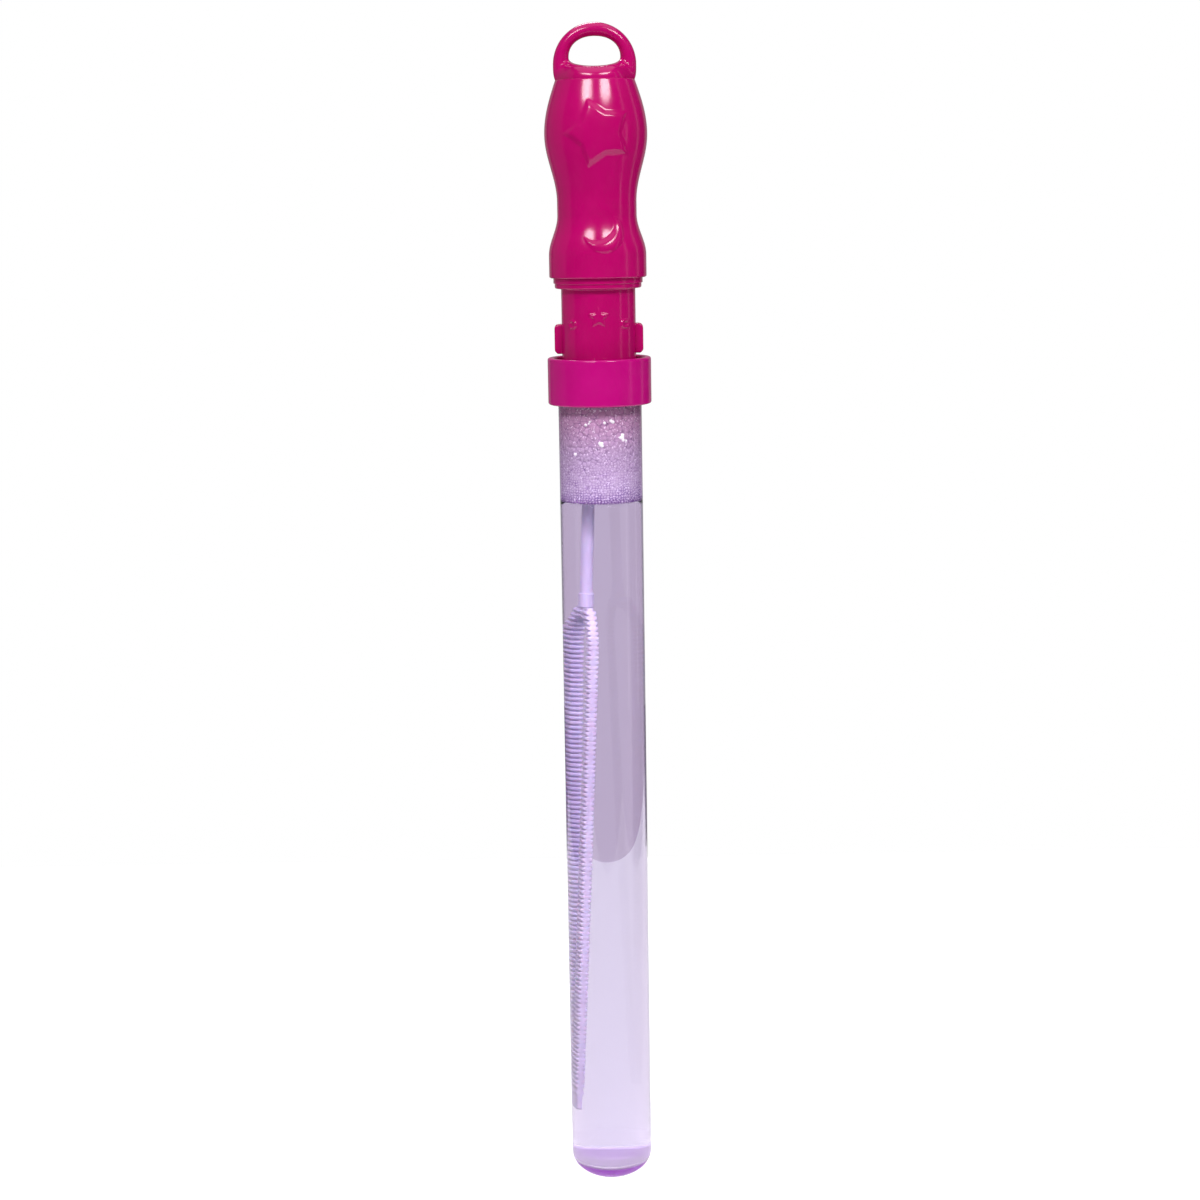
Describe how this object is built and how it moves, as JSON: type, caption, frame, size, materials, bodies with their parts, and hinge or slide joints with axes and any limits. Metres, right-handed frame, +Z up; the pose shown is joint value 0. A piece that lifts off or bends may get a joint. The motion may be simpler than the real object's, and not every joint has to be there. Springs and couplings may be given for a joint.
{
  "type": "bubble wand",
  "caption": "Clear lilac tube of bubble solution with a pink collar; its moulded pink handle closes the tube and draws out a long ribbed loop for blowing bubbles.",
  "frame": {"origin": "on the tube's axis, at the foot of its domed end", "axes": "+Z up along the tube towards the handle; -Y is the front with the star and the moon; +X to the right"},
  "size_m": [0.0324, 0.0332, 0.3722],
  "materials": {
    "clear_lilac_plastic": "clear tinted moulding",
    "satin_pink_plastic": "satin moulding",
    "glossy_pink_plastic": "glossy moulding",
    "pale_lilac_plastic": "satin moulding",
    "pale_seal_rubber": "soft",
    "lilac_solution": "clear liquid",
    "pale_foam": "wet foam"
  },
  "bodies": {
    "tube_body": {"tube": "clear_lilac_plastic", "collar": "satin_pink_plastic", "mouth_gasket": "pale_seal_rubber", "bubble_solution": "lilac_solution", "foam_head": "pale_foam"},
    "seal_body": {"plug_seal": "pale_seal_rubber"},
    "handle_body": {"neck": "glossy_pink_plastic", "end_plug": "glossy_pink_plastic", "wand_stem": "pale_lilac_plastic", "ribbed_loop": "pale_lilac_plastic", "grip": "glossy_pink_plastic", "hanging_loop": "glossy_pink_plastic"}
  },
  "joints": [
    {"name": "handle_pull", "type": "slide", "parent": "tube_body", "child": "seal_body", "axis": [0, 0, 1], "range_m": [0, 0.255], "deforming": ["bubble_solution", "foam_head"]},
    {"name": "handle_turn", "type": "hinge", "parent": "seal_body", "child": "handle_body", "pos_m": [0, 0, 0.2585], "axis": [0, 0, 1], "continuous": true, "deforming": ["bubble_solution", "foam_head"]}
  ]
}
